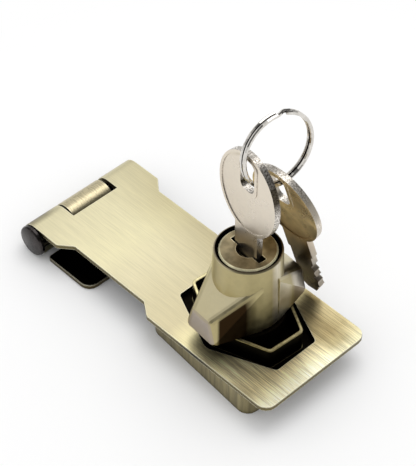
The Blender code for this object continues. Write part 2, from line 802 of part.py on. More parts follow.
def open_ring(name, inner, outer, low, thickness, mouth, material, place):
    """A snap ring: a flat ring with a mouth that lets it spring over its groove."""
    start = mouth / 2
    end = 2 * math.pi - mouth / 2
    outline = arc((0, 0), outer, start, end, 28) + arc((0, 0), inner, end, start, 28)
    ring = prism(name, [outline], low, low + thickness, PARTS, place)
    paint(ring, material)
    smooth_round(ring)


def knob_retainers():
    """A snap ring in the stub's groove, and a washer between it and the housing."""
    open_ring(
        "knob_retaining_ring",
        STUB_GROOVE_R + FIT / 2,
        RETAINER_R,
        RETAINER_LOW,
        RETAINER_T,
        RETAINER_MOUTH,
        STEEL,
        KNOB_PLACE,
    )
    washer = turned(
        "thrust_washer",
        [
            (STUB_R + FIT, WASHER_LOW + WASHER_T),
            (RETAINER_R, WASHER_LOW + WASHER_T),
            (RETAINER_R, WASHER_LOW),
            (STUB_R + FIT, WASHER_LOW),
        ],
        PARTS,
        KNOB_PLACE,
    )
    paint(washer, STEEL)
    smooth_round(washer)


def wafer_heights():
    return [FIRST_WAFER_Z + WAFER_PITCH * i for i in range(WAFER_COUNT)]


def plug_place():
    return KNOB_PLACE @ Matrix.Rotation(KEY_YAW - SKEW, 4, "Z")


def spring_pocket():
    """Where a wafer's spring lies beside the wafer: its start, end and middle in X and Y."""
    middle_y = WAFER_WIDTH / 2 + FIT + SPRING_R
    return -WAFER_EAR / 2 - SPRING_LENGTH, -WAFER_EAR / 2, middle_y


def lock_plug():
    """The plug: a wide face, a keyway, a slot for each wafer and an offset pin at its foot."""
    place = plug_place()
    plug = turned(
        "lock_plug",
        [
            (0, PLUG_FACE),
            (PLUG_HEAD_R - PLUG_EDGE, PLUG_FACE),
            (PLUG_HEAD_R, PLUG_FACE - PLUG_EDGE),
            (PLUG_HEAD_R, PLUG_SHOULDER),
            (PLUG_R, PLUG_SHOULDER),
            (PLUG_R, CLIP_Z + CLIP_T + FIT),
            (PLUG_FOOT_R, CLIP_Z + CLIP_T + FIT),
            (PLUG_FOOT_R, CLIP_Z - FIT / 2),
            (PLUG_R, CLIP_Z - FIT / 2),
            (PLUG_R, PLUG_BOTTOM),
            (0, PLUG_BOTTOM),
        ],
        PARTS,
        place,
    )
    crank = disc(
        "crank_pin",
        CRANK_PIN_R,
        BOLT_Z,
        PLUG_BOTTOM + SHEET,
        CUTTERS,
        place @ Matrix.Translation((0, CRANK, 0)),
        SMALL_STEPS,
    )
    combine(plug, crank, "UNION")
    shutter = disc("shutter_recess", SHUTTER_R, PLUG_FACE - SHUTTER_DEPTH, KNOB_TOP + FIT, CUTTERS, place)
    combine(plug, shutter, "DIFFERENCE")
    half_blade = KEY_T / 2 + FIT
    slit = block(
        "face_slit",
        (-SLIT_WIDTH / 2, -half_blade, PLUG_SHOULDER - FIT),
        (SLIT_WIDTH / 2, half_blade, KNOB_TOP + FIT),
        CUTTERS,
        place,
    )
    combine(plug, slit, "DIFFERENCE")
    keyway = block(
        "keyway",
        (-BLADE_WIDTH / 2 - FIT, -half_blade, BLADE_TIP_Z - 2 * FIT),
        (BLADE_WIDTH / 2 + FIT, half_blade, KNOB_TOP + FIT),
        CUTTERS,
        place,
    )
    combine(plug, keyway, "DIFFERENCE")
    spring_start, _, spring_y = spring_pocket()
    half_wafer = WAFER_WIDTH / 2 + FIT
    for i, z in enumerate(wafer_heights()):
        low = z - WAFER_T / 2 - FIT / 2
        high = z + WAFER_T / 2 + FIT / 2
        slot = block(
            f"wafer_slot_{i}", (-PLUG_R - FIT, -half_wafer, low), (PLUG_R + FIT, half_wafer, high), CUTTERS, place
        )
        combine(plug, slot, "DIFFERENCE")
        pocket = block(
            f"spring_pocket_{i}",
            (spring_start - FIT / 2, half_wafer - FIT, low),
            (WAFER_EAR + FIT, spring_y + SPRING_R + FIT, high),
            CUTTERS,
            place,
        )
        combine(plug, pocket, "DIFFERENCE")
    paint(plug, BRASS)
    smooth_round(plug)

    open_ring(
        "plug_retaining_clip",
        PLUG_FOOT_R + FIT / 2,
        CLIP_R,
        CLIP_Z,
        CLIP_T,
        CLIP_MOUTH,
        STEEL,
        place,
    )


def wafers():
    """Each wafer is a flat plate with a window for the blade and an ear for its spring."""
    place = plug_place()
    half = WAFER_LENGTH / 2
    side = WAFER_WIDTH / 2
    _, _, spring_y = spring_pocket()
    ear_y = spring_y + SPRING_R
    window_x = BLADE_WIDTH / 2 + FIT
    window_y = KEY_T / 2 + FIT
    for i, z in enumerate(wafer_heights()):
        outline = [
            (-half, -side),
            (half, -side),
            (half, side),
            (WAFER_EAR / 2, side),
            (WAFER_EAR / 2, ear_y),
            (-WAFER_EAR / 2, ear_y),
            (-WAFER_EAR / 2, side),
            (-half, side),
        ]
        window = [
            (-window_x, -window_y),
            (window_x, -window_y),
            (window_x, window_y),
            (-window_x, window_y),
        ]
        wafer = prism(
            f"wafer_{i + 1}", [outline, window], z - WAFER_T / 2, z + WAFER_T / 2, PARTS, place
        )
        paint(wafer, PALE_BRASS)
        spring(f"wafer_spring_{i + 1}", z, place)


def spring(name, z, place):
    """A fine coil spring between the plug's pocket and the wafer's ear."""
    start, end, y = spring_pocket()
    start += FIT
    end -= FIT
    radius = SPRING_R - SPRING_WIRE_R
    per_turn = 10
    count = SPRING_TURNS * per_turn
    points = []
    for k in range(count + 1):
        angle = 2 * math.pi * k / per_turn
        x = start + (end - start) * k / count
        points.append((x, y + radius * math.cos(angle), z + radius * math.sin(angle)))
    coil = wire(name, points, SPRING_WIRE_R, 0, place)
    paint(coil, STEEL)


def wire(name, points, radius, resolution, place):
    """A round wire with closed ends along a list of points."""
    curve = bpy.data.curves.new(name, "CURVE")
    curve.dimensions = "3D"
    curve.bevel_depth = radius
    curve.bevel_resolution = resolution
    curve.use_fill_caps = True
    spline = curve.splines.new("POLY")
    spline.points.add(len(points) - 1)
    for point, co in zip(spline.points, points):
        point.co = (*co, 1)
    sketch = bpy.data.objects.new(name + "_path", curve)
    bpy.context.scene.collection.objects.link(sketch)
    bpy.context.view_layer.update()
    graph = bpy.context.evaluated_depsgraph_get()
    mesh = bpy.data.meshes.new_from_object(sketch.evaluated_get(graph))
    bpy.data.objects.remove(sketch, do_unlink=True)
    shape = bmesh.new()
    shape.from_mesh(mesh)
    bmesh.ops.remove_doubles(shape, verts=shape.verts, dist=1e-7)
    bmesh.ops.recalc_face_normals(shape, faces=shape.faces)
    shape.to_mesh(mesh)
    shape.free()
    mesh.name = name
    item = put(mesh, name, PARTS, place)
    item.data.shade_smooth()
    item.data.set_sharp_from_angle(angle=math.radians(60))
    return item


def locking_bolt():
    """The bolt slides across the stub; its nose drops into a pocket of the housing."""
    side = BOLT_WIDTH / 2
    nose = BOLT_NOSE_WIDTH / 2
    step = BOLT_NOSE_X - BOLT_NOSE_LENGTH
    outline = [
        (-BOLT_TAIL_X, -side),
        (step, -side),
        (step, -nose),
        (BOLT_NOSE_X, -nose),
        (BOLT_NOSE_X, nose),
        (step, nose),
        (step, side),
        (-BOLT_TAIL_X, side),
    ]
    slot_x = CRANK_PIN_R + CRANK_PLAY
    slot_y = CRANK + CRANK_PIN_R + FIT
    yaw = plug_place().to_euler().z - KNOB_PLACE.to_euler().z
    shift_x = CRANK * -math.sin(yaw)
    slot = rounded(
        [
            (shift_x - slot_x, slot_y, CRANK_PIN_R / 2),
            (shift_x + slot_x, slot_y, CRANK_PIN_R / 2),
            (shift_x + slot_x, -slot_y, CRANK_PIN_R / 2),
            (shift_x - slot_x, -slot_y, CRANK_PIN_R / 2),
        ]
    )
    bolt = prism("locking_bolt", [outline, slot], BOLT_Z, BOLT_TOP, PARTS, KNOB_PLACE)
    paint(bolt, STEEL)


def key_outline():
    """The key's flat outline about the middle of its bow, blade down, cuts on the +X side."""
    neck = NECK_WIDTH / 2
    blade = BLADE_WIDTH / 2
    neck_foot = -KEY_SEAT + FIT
    join = math.asin(neck / BOW_HALF_WIDTH)
    start = -math.pi / 2 + join
    bow_steps = 40
    sweep = 2 * math.pi - 2 * join
    points = [
        (
            BOW_HALF_WIDTH * math.cos(start + sweep * i / bow_steps),
            BOW_HALF_HEIGHT * math.sin(start + sweep * i / bow_steps),
        )
        for i in range(bow_steps + 1)
    ]
    points += [(-neck, neck_foot), (-blade, neck_foot - FIT)]
    tip = -BLADE_REACH
    points += [(-blade, tip + 2 * MM), (-blade + 2 * MM, tip), (blade - 2.4 * MM, tip)]
    first = FIRST_WAFER_Z - KEY_CENTRE_Z
    flat = 0.35 * MM
    for i, depth in enumerate(BIT_DEPTHS):
        z = first + WAFER_PITCH * i
        run = WAFER_PITCH / 2 - flat
        if i > 0:
            points.append((blade - 0.2 * MM, z - WAFER_PITCH / 2))
        points.append((blade - depth, z - min(flat, run)))
        points.append((blade - depth, z + min(flat, run)))
    points += [(blade, first + WAFER_PITCH * len(BIT_DEPTHS) - flat), (blade, neck_foot - FIT)]
    points += [(neck, neck_foot)]
    return points


def key_slot_outline():
    half = KEY_SLOT_WIDTH / 2
    top = KEY_SLOT_TOP
    low = KEY_SLOT_TOP - KEY_SLOT_LENGTH
    return rounded(
        [
            (-half, top, KEY_SLOT_R),
            (half, top, KEY_SLOT_R),
            (half, low, KEY_SLOT_R),
            (-half, low, KEY_SLOT_R),
        ]
    )


def ellipse(half_width, half_height, steps=40):
    return [
        (half_width * math.cos(2 * math.pi * i / steps), half_height * math.sin(2 * math.pi * i / steps))
        for i in range(steps)
    ]


def make_key(name, place):
    """A key cut from flat strip, with a shallow recess on each face of its bow."""
    item = prism(name, [key_outline(), key_slot_outline()], -KEY_T / 2, KEY_T / 2, PARTS, place)
    dish = ellipse(BOW_HALF_WIDTH - BOW_BORDER, BOW_HALF_HEIGHT - BOW_BORDER)
    land = rounded(
        [
            (x, y, KEY_SLOT_R + BOW_RECESS)
            for x, y in (
                (-KEY_SLOT_WIDTH / 2 - MM, KEY_SLOT_TOP + 0.4 * MM),
                (KEY_SLOT_WIDTH / 2 + MM, KEY_SLOT_TOP + 0.4 * MM),
                (KEY_SLOT_WIDTH / 2 + MM, KEY_SLOT_TOP - KEY_SLOT_LENGTH - MM),
                (-KEY_SLOT_WIDTH / 2 - MM, KEY_SLOT_TOP - KEY_SLOT_LENGTH - MM),
            )
        ]
    )
    for face, low in (("front", KEY_T / 2 - BOW_RECESS), ("back", -KEY_T / 2 - MM)):
        recess = prism(
            f"{name}_{face}_recess", [dish, land], low, low + MM + BOW_RECESS, PARTS, place
        )
        combine(item, recess, "DIFFERENCE")
    paint(item, NICKEL)
    smooth_round(item)
    return item


def keys():
    key_place = (
        Matrix.Translation((0, 0, KEY_CENTRE_Z)) @ Matrix.Rotation(KEY_YAW, 4, "Z") @ upright()
    )
    make_key("key", key_place)
    spare_place = (
        Matrix.Translation(SPARE_CENTRE)
        @ Euler((SPARE_LEAN, SPARE_ROLL, 0)).to_matrix().to_4x4()
        @ upright()
    )
    make_key("spare_key", spare_place)


def split_ring():
    """Two turns of round wire side by side, with a short crossing where they change places."""
    place = (
        Matrix.Translation(RING_CENTRE)
        @ Euler((0, RING_PITCH_ANGLE, RING_YAW)).to_matrix().to_4x4()
    )
    middle = RING_KINK + 2 * math.pi
    turn = 2 * math.pi - 2 * RING_CROSSING
    turn_steps = 40
    crossing_steps = 6
    first = [RING_KINK + RING_CROSSING + turn * i / turn_steps for i in range(turn_steps + 1)]
    passing = [
        middle - RING_CROSSING + 2 * RING_CROSSING * i / crossing_steps
        for i in range(1, crossing_steps)
    ]
    second = [middle + RING_CROSSING + turn * i / turn_steps for i in range(turn_steps + 1)]
    points = []
    for angle in first + passing + second:
        side = max(-1.0, min(1.0, (angle - middle) / RING_CROSSING))
        x = RING_PITCH / 2 * math.sin(side * math.pi / 2)
        points.append((x, RING_R * math.cos(angle), RING_R * math.sin(angle)))
    ring = wire("split_ring", points, RING_WIRE_R, 2, place)
    paint(ring, CHROME)


clear_objects()
PARTS = new_collection("keyed_hasp_lock")
CUTTERS = new_collection("cutters")

BRASS = metal("brushed antique brass", (0.58, 0.52, 0.30), 0.34)
PALE_BRASS = metal("plain brass", (0.70, 0.56, 0.26), 0.3)
GUNMETAL = metal("blackened steel", (0.14, 0.13, 0.13), 0.35)
NICKEL = metal("nickel silver", (0.66, 0.61, 0.54), 0.28)
CHROME = metal("nickel plate", (0.75, 0.74, 0.72), 0.12)
STEEL = metal("zinc plated steel", (0.55, 0.56, 0.58), 0.3)
ZINC = metal("die-cast zinc", (0.36, 0.36, 0.37), 0.5)

hasp_strap()
hinge_leaf()
hinge_pin()
base_cover()
lock_housing()
back_plate()
knob()
knob_retainers()
lock_plug()
wafers()
locking_bolt()
keys()
split_ring()
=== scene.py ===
# %% [markdown]
# # A keyed hasp lock in antique brass
#
# A hasp lock holds a cupboard door shut. A brass strap swings over a raised base, and a winged knob
# that turns across the strap's cut-out keeps it down until the key frees the knob. All the metal
# pieces already have their shapes in the imported model. This script gives each of them the finish
# that the real one has: brass that was darkened and then brushed back, nickel silver keys, a bright
# split ring and a blackened hinge pin. Some light and shade is painted into these finishes as well.

import json
import math

import bmesh
import bpy
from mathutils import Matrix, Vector

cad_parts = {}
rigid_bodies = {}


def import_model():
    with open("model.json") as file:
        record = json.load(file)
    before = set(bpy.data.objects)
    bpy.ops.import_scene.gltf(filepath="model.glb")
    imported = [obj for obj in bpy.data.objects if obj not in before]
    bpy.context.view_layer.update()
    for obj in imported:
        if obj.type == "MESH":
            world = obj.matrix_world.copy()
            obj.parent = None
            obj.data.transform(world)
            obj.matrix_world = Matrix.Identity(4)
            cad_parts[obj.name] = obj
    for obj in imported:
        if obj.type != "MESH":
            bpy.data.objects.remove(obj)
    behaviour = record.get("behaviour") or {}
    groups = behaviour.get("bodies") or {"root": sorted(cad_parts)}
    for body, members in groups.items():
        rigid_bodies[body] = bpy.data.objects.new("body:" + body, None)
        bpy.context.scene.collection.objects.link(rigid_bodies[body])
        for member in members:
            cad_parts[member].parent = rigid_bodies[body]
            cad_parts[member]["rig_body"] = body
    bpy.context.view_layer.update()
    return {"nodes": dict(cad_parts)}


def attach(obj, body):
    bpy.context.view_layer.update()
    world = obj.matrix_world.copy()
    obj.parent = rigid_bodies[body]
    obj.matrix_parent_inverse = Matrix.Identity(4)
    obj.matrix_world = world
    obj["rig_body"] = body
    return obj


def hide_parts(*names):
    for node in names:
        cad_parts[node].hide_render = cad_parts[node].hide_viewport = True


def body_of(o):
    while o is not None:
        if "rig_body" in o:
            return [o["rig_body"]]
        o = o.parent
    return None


MM = 0.001
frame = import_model()

# %% [markdown]
# ## Colours and nodes
#
# Colours are picked from a screen, so they are written as the hex values that a screen uses. The
# shader works with linear light, and one function converts them. A second function adds a node and
# fills its inputs in their order on the node, which keeps a long material down to a readable list.
# Inputs that the node's settings hide are passed over, so a Mix of two colours takes its amount and
# its two colours, and None leaves an input as it is.

# %% Two helpers that every material uses
def linear(hex_colour):
    """An sRGB hex value as linear red, green, blue and alpha."""
    channels = [int(hex_colour[i : i + 2], 16) / 255 for i in (0, 2, 4)]
    light = [c / 12.92 if c <= 0.04045 else ((c + 0.055) / 1.055) ** 2.4 for c in channels]
    return (*light, 1.0)


def add(material, kind, *inputs, **settings):
    """Add a node, set or link its inputs, and return its first output."""
    tree = material.node_tree
    node = tree.nodes.new("ShaderNode" + kind)
    for name, value in settings.items():
        setattr(node, name, value)
    shown = [socket for socket in node.inputs if socket.enabled]
    for socket, value in zip(shown, inputs):
        if isinstance(value, bpy.types.NodeSocket):
            tree.links.new(value, socket)
        elif value is not None:
            socket.default_value = value
    return next(socket for socket in node.outputs if socket.enabled)


def link(material, output, shader_input):
    material.node_tree.links.new(output, shader_input)


def new_metal(name, roughness):
    """A material whose shader is a metal, and that shader."""
    material = bpy.data.materials.new(name)
    material.use_nodes = True
    shader = material.node_tree.nodes["Principled BSDF"]
    shader.inputs["Metallic"].default_value = 1.0
    shader.inputs["Roughness"].default_value = roughness
    return material, shader


print("E4DCB7 in linear light:", [round(channel, 3) for channel in linear("E4DCB7")[:3]])

# %% [markdown]
# ## Where on a piece
#
# Antique brass is not one colour, and light and shade are painted into it as well: faces are
# painted lighter or darker by which way they face and whether they stand in a gap. So each finish
# asks where a point is and which way it faces, in the object's own axes, and makes masks from 0 to 1
# of the answers. The knob's axis is at the middle, with x along the strap, y across it and z up.

# %% Masks from a point's place and facing
def place_and_facing(material):
    """The X, Y and Z of the point and of its normal, in the object's own axes."""
    coordinates = add(material, "TexCoord").node.outputs
    place = add(material, "SeparateXYZ", coordinates["Object"]).node
    facing = add(material, "SeparateXYZ", coordinates["Normal"]).node
    return place.outputs, facing.outputs


def where_all(material, *masks):
    """The masks multiplied together, so it is 1 where each of them is."""
    result = masks[0]
    for mask in masks[1:]:
        result = add(material, "Math", result, mask, operation="MULTIPLY")
    return result


def from_axis(material, place):
    """How far the point is from the knob's axis."""
    x_squared = add(material, "Math", place["X"], place["X"], operation="MULTIPLY")
    y_squared = add(material, "Math", place["Y"], place["Y"], operation="MULTIPLY")
    both = add(material, "Math", x_squared, y_squared)
    return add(material, "Math", both, operation="SQRT")


print("masks from: place_and_facing, from_axis, where_all")

# %% Colours by facing, and along a length
def colours_along(material, length, stops):
    """Colours that follow one another along a length: pairs of a place in metres and a hex."""
    first, last = stops[0][0], stops[-1][0]
    ramp = add(material, "ValToRGB", add(material, "MapRange", length, first, last))
    marks = ramp.node.color_ramp.elements
    while len(marks) < len(stops):
        marks.new(0.5)
    # The marks sort themselves as they move, so all have their places before any has a colour.
    for mark, (place, _) in zip(marks, stops):
        mark.position = (place - first) / (last - first)
    for mark, (_, hex_colour) in zip(marks, stops):
        mark.color = linear(hex_colour)
    return ramp


def facing_colour(material, facing, up, side, under):
    """Mix three colours by how far the surface looks up or down: lit and shaded copies of one metal,
    which is painted light and shade.
    """
    looks_up = add(material, "MapRange", facing["Z"], 0.45, 0.97)
    looks_down = add(material, "MapRange", facing["Z"], -0.5, -0.95)
    colour = add(material, "Mix", looks_up, linear(side), linear(up), data_type="RGBA")
    return add(material, "Mix", looks_down, colour, linear(under), data_type="RGBA")


def darken(material, colour, factor):
    """Multiply a colour by a grey value."""
    grey = add(material, "CombineXYZ", factor, factor, factor)
    return add(material, "Mix", 1.0, colour, grey, data_type="RGBA", blend_type="MULTIPLY")


print("colours from: colours_along, facing_colour, darken")

# %% [markdown]
# ## Brushed antique brass
#
# Antique brass is plated or solid brass that is darkened in a bath and then brushed with an
# abrasive belt. The belt takes the dark layer off the faces and edges that it reaches, and leaves
# scratches that are much longer than they are wide and all run its way. Noise that is stretched
# along one axis gives such scratches. A Bevel node, which compares the real facing with a rounded
# one, finds the edges, which are made bright: partly wear, partly a painted highlight. An Ambient
# Occlusion node finds the corners, which are made dark: partly the dark layer that the belt can't
# reach, partly painted shade. The scratches also set the roughness and a shallow bump, so a streak
# catches the light as well as shows.

# %% Scratches and clouds
SCRATCH_LENGTH = 9 * MM
# Real scratches are about 0.05 mm wide; these are drawn wider so that the render shows them.
SCRATCH_WIDTH = 0.22 * MM


def scratch_pattern(material, along, length=SCRATCH_LENGTH, width=SCRATCH_WIDTH):
    """Noise stretched along one of the object's axes, from 0 to 1."""
    scale = [1 / width] * 3
    scale["XYZ".index(along)] = 1 / length
    place = add(material, "TexCoord").node.outputs["Object"]
    stretched = add(material, "Mapping", place, None, None, scale)
    return add(material, "TexNoise", stretched, 1.0, 4.0, 0.6)


def mottle(material, grain, detail=4.0, contrast=0.5):
    """Cloudy noise without a direction, from 0 to 1."""
    place = add(material, "TexCoord").node.outputs["Object"]
    return add(material, "TexNoise", place, 1 / grain, detail, contrast)


print("scratches in mm:", SCRATCH_LENGTH / MM, "by", SCRATCH_WIDTH / MM)

# %% Worn and lit edges, and dark corners of patina and painted shade
WORN_AND_LIT_EDGE = 0.5 * MM
PATINA_AND_SHADE_REACH = 2.5 * MM


def worn_and_lit_edges(material):
    """1 on edges and 0 on flats."""
    rounded = add(material, "Bevel", WORN_AND_LIT_EDGE, samples=8)
    real = add(material, "NewGeometry").node.outputs["Normal"]
    likeness = add(material, "VectorMath", rounded, real, operation="DOT_PRODUCT")
    return add(material, "MapRange", likeness, 0.995, 0.9)


def open_to_air(material, reach):
    """1 on open surfaces and 0 deep in corners."""
    shelter = add(material, "AmbientOcclusion", None, reach, samples=8).node.outputs["AO"]
    return add(material, "MapRange", shelter, 0.25, 0.8)


print("in mm: worn edge", WORN_AND_LIT_EDGE / MM, "and dark corner", PATINA_AND_SHADE_REACH / MM)

# %% Join the pattern, the edges and the corners to the shader
SCRATCH_DEPTH = 0.025 * MM


def finish_brass(
    material,
    shader,
    colour,
    pattern,
    roughness,
    streak,
    patina_and_shade,
    edge=None,
    reach=PATINA_AND_SHADE_REACH,
    depth=SCRATCH_DEPTH,
    undarkened=0.0,
):
    """Add the pattern, bright edges if any and dark corners, and join it all to the shader.

    The colour varies by the streak's share each way. Where the mask clean is 1, no corner is dark.
    """
    signed = add(material, "MapRange", pattern, 0.36, 0.64, -1, 1)
    signed = add(material, "Math", signed, streak, operation="MULTIPLY")
    colour = darken(material, colour, add(material, "Math", 1.0, signed))
    # The bright edges are partly wear and partly a painted highlight.
    if edge:
        worn_and_lit = worn_and_lit_edges(material)
        colour = add(material, "Mix", worn_and_lit, colour, linear(edge), data_type="RGBA")
    # The dark corners are partly the dark layer that the belt left and partly painted shade.
    brushed = add(material, "Math", open_to_air(material, reach), undarkened, operation="MAXIMUM")
    colour = add(material, "Mix", brushed, linear(patina_and_shade), colour, data_type="RGBA")
    link(material, colour, shader.inputs["Base Color"])
    rough = add(material, "MapRange", pattern, 0.3, 0.7, roughness - 0.06, roughness + 0.07)
    link(material, rough, shader.inputs["Roughness"])
    bump = add(material, "Bump", 0.25, depth, None, pattern)
    link(material, bump, shader.inputs["Normal"])


def say(material):
    """Print what a finish is called and how long its node list is."""
    print(material.name, "nodes:", len(material.node_tree.nodes))


print("scratch depth in mm:", SCRATCH_DEPTH / MM)

# %% [markdown]
# ## The strap
#
# The strap is sheet brass, brushed along its length after it was cut and curled. The hinge end is
# even and pale, and the streaks grow stronger past the knob. The top is painted lighter and darker
# along x: painted shadow and reflection of the knob round it, and a painted highlight towards the
# end. A ramp of colours along x gives that, read off the object every centimetre or so, and a few
# masks add what the ramp can't: the greyer far side, painted shade beside the knob, and painted
# shade on the walls of the cut-out.

# %% The strap's finish
# Painted light and shade along the strap's top: darker round the knob for its shadow and reflection,
# and a painted highlight towards the end.
STRAP_PAINTED_LIGHT = [
    (-72 * MM, "E0D8B4"),
    (-58 * MM, "E4DCB7"),
    (-45 * MM, "E8E0B9"),
    (-35 * MM, "DFD6B3"),
    (-22 * MM, "D2C8A5"),
    (-12 * MM, "CFC4A0"),
    (-4 * MM, "F0E5B4"),
    (6 * MM, "F6E8B6"),
    (12 * MM, "F0E2B6"),
    (20 * MM, "E2D4A8"),
    (23 * MM, "F6ECC2"),
    (26 * MM, "FFFBD8"),
]


def strap_shades(material, place, facing, looks_up):
    """The colour of each face, with painted light and shade: a lit top, shaded sides and underside,
    and lighter and darker stretches along the top.
    """
    colour = facing_colour(material, facing, up="E4DCB7", side="6F6648", under="17130C")
    along = colours_along(material, place["X"], STRAP_PAINTED_LIGHT)
    colour = add(material, "Mix", looks_up, colour, along, data_type="RGBA")
    far_side = where_all(
        material,
        add(material, "MapRange", place["Y"], 2 * MM, 20 * MM),
        add(material, "MapRange", place["X"], -68 * MM, -50 * MM, 0.4, 1.0),
        looks_up,
    )
    beside_knob = where_all(
        material,
        add(material, "MapRange", place["Y"], 5 * MM, 10 * MM),
        add(material, "MapRange", place["Y"], 19 * MM, 14 * MM),
        add(material, "MapRange", place["X"], 2 * MM, 12 * MM),
        add(material, "MapRange", place["X"], 29 * MM, 24 * MM),
        looks_up,
    )
    for mask, shade in ((far_side, "DAD6CC"), (beside_knob, "C9C3B8")):
        colour = add(
            material, "Mix", mask, colour, linear(shade), data_type="RGBA", blend_type="MULTIPLY"
        )
    return colour


def strap_brass():
    """Fine streaks along the strap, faint at the hinge and strong past the knob."""
    material, shader = new_metal("brushed antique brass sheet", 0.36)
    place, facing = place_and_facing(material)
    looks_up = add(material, "MapRange", facing["Z"], 0.7, 0.95)
    colour = strap_shades(material, place, facing, looks_up)
    # The near knuckle, beside the head of the pin, is painted darker, as a painted dark reflection.
    near_knuckle = where_all(
        material,
        add(material, "MapRange", place["X"], -68.5 * MM, -72.5 * MM),
        add(material, "MapRange", place["Y"], -8.5 * MM, -14 * MM),
    )
    # The walls of the cut-out are the steep faces within its corners' distance from the axis.
    walls = where_all(
        material,
        add(material, "MapRange", from_axis(material, place), 21.5 * MM, 19.8 * MM),
        add(material, "MapRange", facing["Z"], 0.6, 0.3),
    )
    # Both marks are painted dark: a painted reflection on the knuckle and painted shade on the
    # walls.
    for mask, painted_dark in ((near_knuckle, "665C44"), (walls, "0E0A06")):
        colour = add(material, "Mix", mask, colour, linear(painted_dark), data_type="RGBA")
    finish_brass(
        material,
        shader,
        colour,
        scratch_pattern(material, "X"),
        roughness=0.36,
        streak=add(material, "MapRange", place["X"], -8 * MM, 14 * MM, 0.07, 0.34),
        patina_and_shade="15100A",
        edge="FFFBE0",
        reach=1.2 * MM,
    )
    return material


STRAP_BRASS = strap_brass()
say(STRAP_BRASS)

# %% [markdown]
# ## The leaf
#
# The leaf is the other half of the hinge. It is the same sheet, but it lies folded under the strap.
# The plate's upper side lies in the strap's shadow and is painted near black, as painted shade.
# One mask that rises with z parts the knuckle from the plate, and each has its own three colours,
# which paint its light and shade by facing.

# %% The leaf's finish
def leaf_brass():
    """A plate painted nearly black for its shade, with a pale, streaky knuckle."""
    material, shader = new_metal("antique brass leaf", 0.36)
    place, facing = place_and_facing(material)
    plate = facing_colour(material, facing, up="0C0906", side="5C523A", under="D8CD9C")
    knuckle = facing_colour(material, facing, up="C4B998", side="B4A986", under="8C8262")
    on_knuckle = add(material, "MapRange", place["Z"], 2.2 * MM, 4.5 * MM)
    finish_brass(
        material,
        shader,
        add(material, "Mix", on_knuckle, plate, knuckle, data_type="RGBA"),
        scratch_pattern(material, "X", width=0.3 * MM),
        roughness=0.33,
        streak=0.26,
        patina_and_shade="15100A",
        edge="FFFBE0",
    )
    return material


LEAF_BRASS = leaf_brass()
say(LEAF_BRASS)

# %% [markdown]
# ## The base's cover
#
# The cover is pressed from thin brass: a shallow box, and a six-sided collar that is drawn up out
# of it. The press leaves broad upright marks on the box's sides. The top and the collar sit in the
# strap's shadow, so they are painted black, as painted shade, and the collar's thin rim gets a
# painted highlight. So the colour changes with z: brass up to the strap, painted shade above it,
# and a painted highlight at the rim.

# %% The cover's finish
BOX_TOP = 7.9 * MM
COLLAR_RIM = 14.75 * MM


def cover_brass():
    """Upright marks on the sides, painted shade under the strap, and one painted highlight on the
    rim.
    """
    material, shader = new_metal("antique brass pressing", 0.38)
    place, facing = place_and_facing(material)
    colour = facing_colour(material, facing, up="0C0906", side="958B69", under="17130C")
    above_box = add(material, "MapRange", place["Z"], BOX_TOP - 1 * MM, BOX_TOP)
    on_rim = add(material, "MapRange", place["Z"], COLLAR_RIM - 0.3 * MM, COLLAR_RIM)
    # Painted shade above the box, and a painted highlight on the rim.
    for mask, painted_light in ((above_box, "0D0A06"), (on_rim, "E2D8A8")):
        colour = add(material, "Mix", mask, colour, linear(painted_light), data_type="RGBA")
    finish_brass(
        material,
        shader,
        colour,
        scratch_pattern(material, "Z", length=20 * MM, width=1.1 * MM),
        roughness=0.38,
        streak=0.26,
        patina_and_shade="0D0A06",
        edge="B0A47C",
    )
    return material


COVER_BRASS = cover_brass()
say(COVER_BRASS)

# %% [markdown]
# ## The knob
#
# The knob is cast in one piece and then tumbled, so it has soft clouds instead of scratches, and no
# edge of it is brighter than the rest. Its barrel has a painted highlight down each side and painted
# shade at its foot, in the collar. The wings' ends are painted greyer, as painted light, and the
# near wing has painted shade on its side, up to an arch. The rim is dull, and the groove inside it
# is painted black, as painted shade. Each of these is one mask from the place or the facing of a
# point.
# A painted image would do the same, but it would have to be made again after any change to the
# shape.

# %% The barrel: a painted highlight down each side, and painted shade at its foot
HIGHLIGHT_SIDE = {"X": 0.716, "Y": 0.698}  # the way that the right-hand band faces


def barrel_colours(material, colour, place, facing, out):
    on_barrel = add(material, "MapRange", out, 9 * MM, 7 * MM)
    along_x = add(material, "Math", facing["X"], HIGHLIGHT_SIDE["X"], operation="MULTIPLY")
    along_y = add(material, "Math", facing["Y"], HIGHLIGHT_SIDE["Y"], operation="MULTIPLY")
    right = add(material, "Math", along_x, along_y)
    right_highlight = where_all(
        material,
        on_barrel,
        add(material, "MapRange", right, 0.66, 0.78),
        add(material, "MapRange", right, 0.92, 0.84),
    )
    left_highlight = where_all(material, on_barrel, add(material, "MapRange", right, -0.72, -0.86))
    height = add(material, "MapRange", place["Z"], 23 * MM, 15 * MM, 0.0, 0.4)
    foot_shade = where_all(material, on_barrel, height)
    # Painted highlights down both sides of the barrel, and painted shade at its foot.
    for mask, shade in ((right_highlight, "D6CEB8"), (left_highlight, "E6DEB2"), (foot_shade, "5E5230")):
        colour = add(material, "Mix", mask, colour, linear(shade), data_type="RGBA")
    return colour


print("the barrel's bands face", HIGHLIGHT_SIDE, "and the opposite way")

# %% The wings: painted grey ends, and painted shade on the near one's side
WING_END = 16.5 * MM
ARCH_TOP = 23.0 * MM
ARCH_SLOPE = 0.7
CORNER_SLOPE = 1.02


